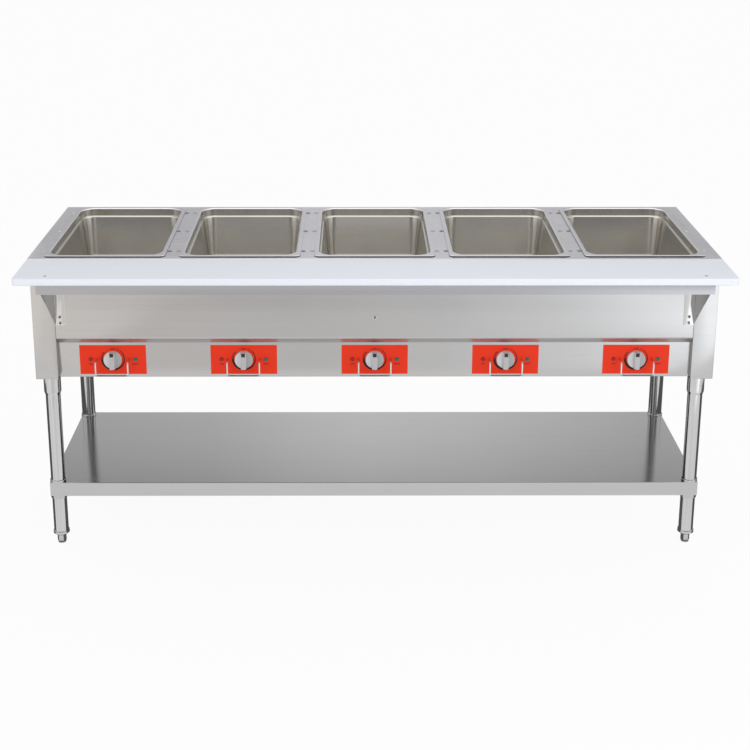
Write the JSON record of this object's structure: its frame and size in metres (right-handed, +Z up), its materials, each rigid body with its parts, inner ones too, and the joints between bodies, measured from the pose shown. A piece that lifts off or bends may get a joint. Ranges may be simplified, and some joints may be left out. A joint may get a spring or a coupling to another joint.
{
  "type": "hot food table",
  "caption": "Electric hot food table: steel counter with lift-out pans over heated wells, cutting board on brackets, control band with knobs, tube legs and an undershelf.",
  "frame": {"origin": "on the floor under the middle of the table", "axes": "+X along the table's length to the right seen from the front, +Y from the front to the back, +Z up"},
  "size_m": [1.85, 0.746, 0.8483],
  "materials": {
    "body_steel": "brushed stainless sheet, grain along the length",
    "counter_steel": "satin stainless sheet",
    "shelf_steel": "brushed stainless sheet, grain along the length",
    "pan_steel": "satin deep-drawn stainless",
    "well_steel": "plain stainless sheet",
    "element_tube": "dark oxidised heater sheath",
    "switch_body": "black moulded housing",
    "leg_tube": "polished stainless tube",
    "foot_metal": "plain zinc-grey metal",
    "fasteners": "plain stainless",
    "insulation": "mineral wool",
    "label_red": "orange-red printed plate",
    "lamp_red": "dark red lens, unlit",
    "lamp_green": "green lens",
    "guard_wire": "bright wire",
    "knob_silver": "silver-grey moulded knob",
    "terminal_plastic": "white moulded block",
    "gland_plastic": "black nylon",
    "board_poly": "white polyethylene"
  },
  "bodies": {
    "table": {"countertop": "counter_steel", "end_panel_left": "body_steel", "end_panel_right": "body_steel", "front_panel": "body_steel", "control_panel": "body_steel", "rear_panel": "body_steel", "bottom_panel": "body_steel", "board_support": "body_steel", "board_gusset_left": "body_steel", "board_gusset_right": "body_steel", "board_pins": "fasteners", "well_1": "well_steel", "well_2": "well_steel", "well_3": "well_steel", "well_4": "well_steel", "well_5": "well_steel", "heating_element_1": "element_tube", "heating_element_2": "element_tube", "heating_element_3": "element_tube", "heating_element_4": "element_tube", "heating_element_5": "element_tube", "insulation": "insulation", "control_switch_1": "switch_body", "control_switch_2": "switch_body", "control_switch_3": "switch_body", "control_switch_4": "switch_body", "control_switch_5": "switch_body", "label_plates": "label_red", "red_lamps": "lamp_red", "green_lamps": "lamp_green", "knob_guards": "guard_wire", "leg_front_left": "leg_tube", "leg_front_right": "leg_tube", "leg_rear_left": "leg_tube", "leg_rear_right": "leg_tube", "leg_sockets": "leg_tube", "foot_plugs": "foot_metal", "undershelf": "shelf_steel", "shelf_stiffeners": "shelf_steel", "rivets": "fasteners", "screws": "fasteners", "terminal_block": "terminal_plastic", "cable_gland": "gland_plastic"},
    "pan_1": {"pan_1": "pan_steel"},
    "pan_2": {"pan_2": "pan_steel"},
    "pan_3": {"pan_3": "pan_steel"},
    "pan_4": {"pan_4": "pan_steel"},
    "pan_5": {"pan_5": "pan_steel"},
    "knob_1": {"knob_1": "knob_silver"},
    "knob_2": {"knob_2": "knob_silver"},
    "knob_3": {"knob_3": "knob_silver"},
    "knob_4": {"knob_4": "knob_silver"},
    "knob_5": {"knob_5": "knob_silver"},
    "cutting_board": {"cutting_board": "board_poly"},
    "foot_front_left": {"foot_front_left": "foot_metal"},
    "foot_front_right": {"foot_front_right": "foot_metal"},
    "foot_rear_left": {"foot_rear_left": "foot_metal"},
    "foot_rear_right": {"foot_rear_right": "foot_metal"}
  },
  "joints": [
    {"name": "pan_1_lift", "type": "slide", "parent": "table", "child": "pan_1", "axis": [0, 0, 1], "range_m": [0, 0.22]},
    {"name": "pan_2_lift", "type": "slide", "parent": "table", "child": "pan_2", "axis": [0, 0, 1], "range_m": [0, 0.22]},
    {"name": "pan_3_lift", "type": "slide", "parent": "table", "child": "pan_3", "axis": [0, 0, 1], "range_m": [0, 0.22]},
    {"name": "pan_4_lift", "type": "slide", "parent": "table", "child": "pan_4", "axis": [0, 0, 1], "range_m": [0, 0.22]},
    {"name": "pan_5_lift", "type": "slide", "parent": "table", "child": "pan_5", "axis": [0, 0, 1], "range_m": [0, 0.22]},
    {"name": "knob_1_turn", "type": "hinge", "parent": "table", "child": "knob_1", "pos_m": [-0.71, -0.187, 0.561], "axis": [0, 1, 0], "range_deg": [0, 300]},
    {"name": "knob_2_turn", "type": "hinge", "parent": "table", "child": "knob_2", "pos_m": [-0.355, -0.187, 0.561], "axis": [0, 1, 0], "range_deg": [0, 300]},
    {"name": "knob_3_turn", "type": "hinge", "parent": "table", "child": "knob_3", "pos_m": [0, -0.187, 0.561], "axis": [0, 1, 0], "range_deg": [0, 300]},
    {"name": "knob_4_turn", "type": "hinge", "parent": "table", "child": "knob_4", "pos_m": [0.355, -0.187, 0.561], "axis": [0, 1, 0], "range_deg": [0, 300]},
    {"name": "knob_5_turn", "type": "hinge", "parent": "table", "child": "knob_5", "pos_m": [0.71, -0.187, 0.561], "axis": [0, 1, 0], "range_deg": [0, 300]},
    {"name": "board_lift", "type": "slide", "parent": "table", "child": "cutting_board", "axis": [0, 0, 1], "range_m": [0, 0.1]},
    {"name": "foot_front_left_screw", "type": "slide", "parent": "table", "child": "foot_front_left", "axis": [0, 0, 1], "range_m": [-0.025, 0]},
    {"name": "foot_front_right_screw", "type": "slide", "parent": "table", "child": "foot_front_right", "axis": [0, 0, 1], "range_m": [-0.025, 0]},
    {"name": "foot_rear_left_screw", "type": "slide", "parent": "table", "child": "foot_rear_left", "axis": [0, 0, 1], "range_m": [-0.025, 0]},
    {"name": "foot_rear_right_screw", "type": "slide", "parent": "table", "child": "foot_rear_right", "axis": [0, 0, 1], "range_m": [-0.025, 0]}
  ]
}
